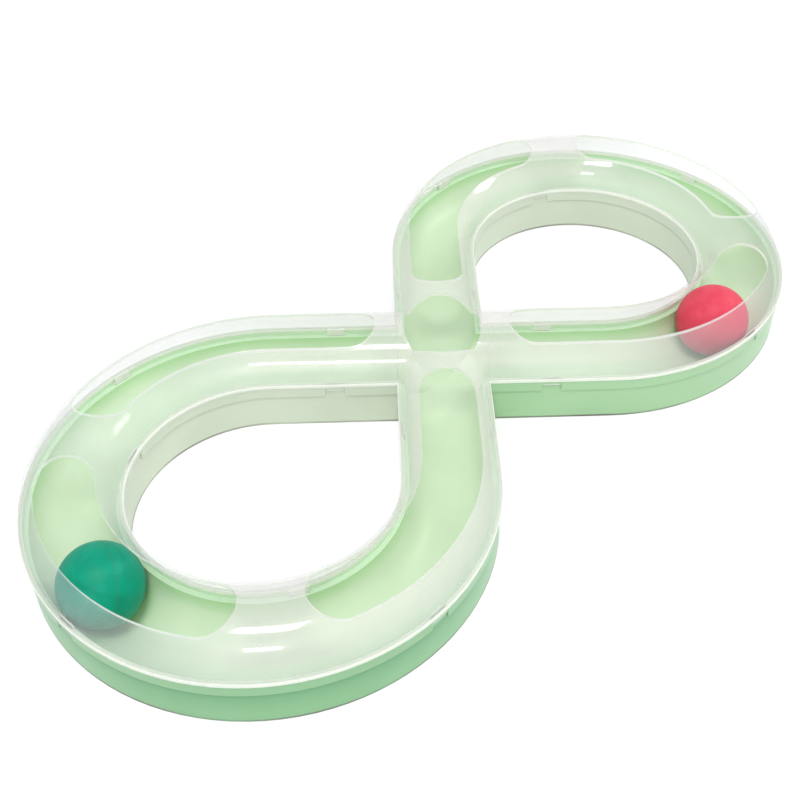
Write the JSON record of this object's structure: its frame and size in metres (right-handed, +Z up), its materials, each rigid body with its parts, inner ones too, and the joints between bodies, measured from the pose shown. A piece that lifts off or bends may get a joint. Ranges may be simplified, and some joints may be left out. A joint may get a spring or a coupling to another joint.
{
  "type": "cat ball track toy",
  "caption": "Flat figure-of-eight cat toy: a green channel tray under a see-through slotted cover, with a green and a red ball to bat round the loops.",
  "frame": {"origin": "on the floor under the crossing of the two straight tunnels, the middle of the figure of eight", "axes": "+X along one straight tunnel and +Y along the other, +Z up; the loops' centres lie on the diagonal from -X -Y (the near loop in the picture, green ball) to +X +Y (the far loop, red ball)"},
  "size_m": [0.4176, 0.4176, 0.0494],
  "materials": {
    "tray": "pale green moulded plastic, satin",
    "cover": "milky see-through plastic, glossy",
    "ball_green": "matte green with a fine grain",
    "ball_red": "matte red with a fine grain"
  },
  "bodies": {
    "tray": {"base_tray": "tray"},
    "cover": {"tunnel_cover": "cover"},
    "green_ball": {"ball_green": "ball_green"},
    "red_ball": {"ball_red": "ball_red"}
  },
  "joints": [
    {"name": "cover_lift", "type": "slide", "parent": "tray", "child": "cover", "axis": [0, 0, 1], "range_m": [0, 0.06]},
    {"name": "green_ball_round_near_loop", "type": "hinge", "parent": "tray", "child": "green_ball", "pos_m": [-0.092, -0.092, 0.0258], "axis": [0, 0, 1], "range_deg": [-131, 139]},
    {"name": "red_ball_round_far_loop", "type": "hinge", "parent": "tray", "child": "red_ball", "pos_m": [0.092, 0.092, 0.0258], "axis": [0, 0, 1], "range_deg": [-43, 227]}
  ]
}
